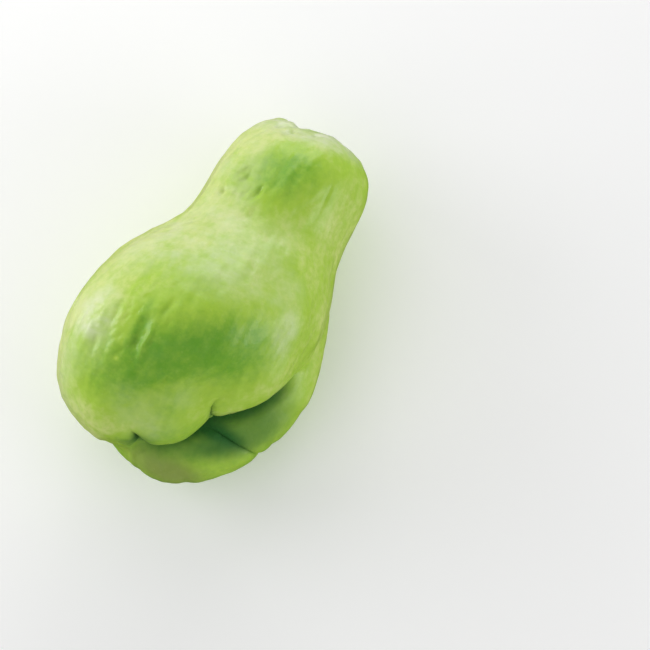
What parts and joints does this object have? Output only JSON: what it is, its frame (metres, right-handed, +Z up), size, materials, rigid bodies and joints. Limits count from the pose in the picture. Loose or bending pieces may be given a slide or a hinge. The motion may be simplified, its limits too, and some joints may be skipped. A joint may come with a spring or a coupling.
{
  "type": "chayote squash",
  "caption": "Whole chayote squash lying on its broad side: pale green pear-shaped fruit with a folded mouth at its wide end.",
  "frame": {"origin": "middle of the bounding box's floor, on the surface the fruit lies on", "axes": "+X across the fruit, +Y along it towards the stem end, +Z up from the surface it lies on"},
  "size_m": [0.0916, 0.1444, 0.0813],
  "materials": {
    "skin": null
  },
  "bodies": {
    "root": {"chayote_fruit": "skin"}
  },
  "joints": []
}
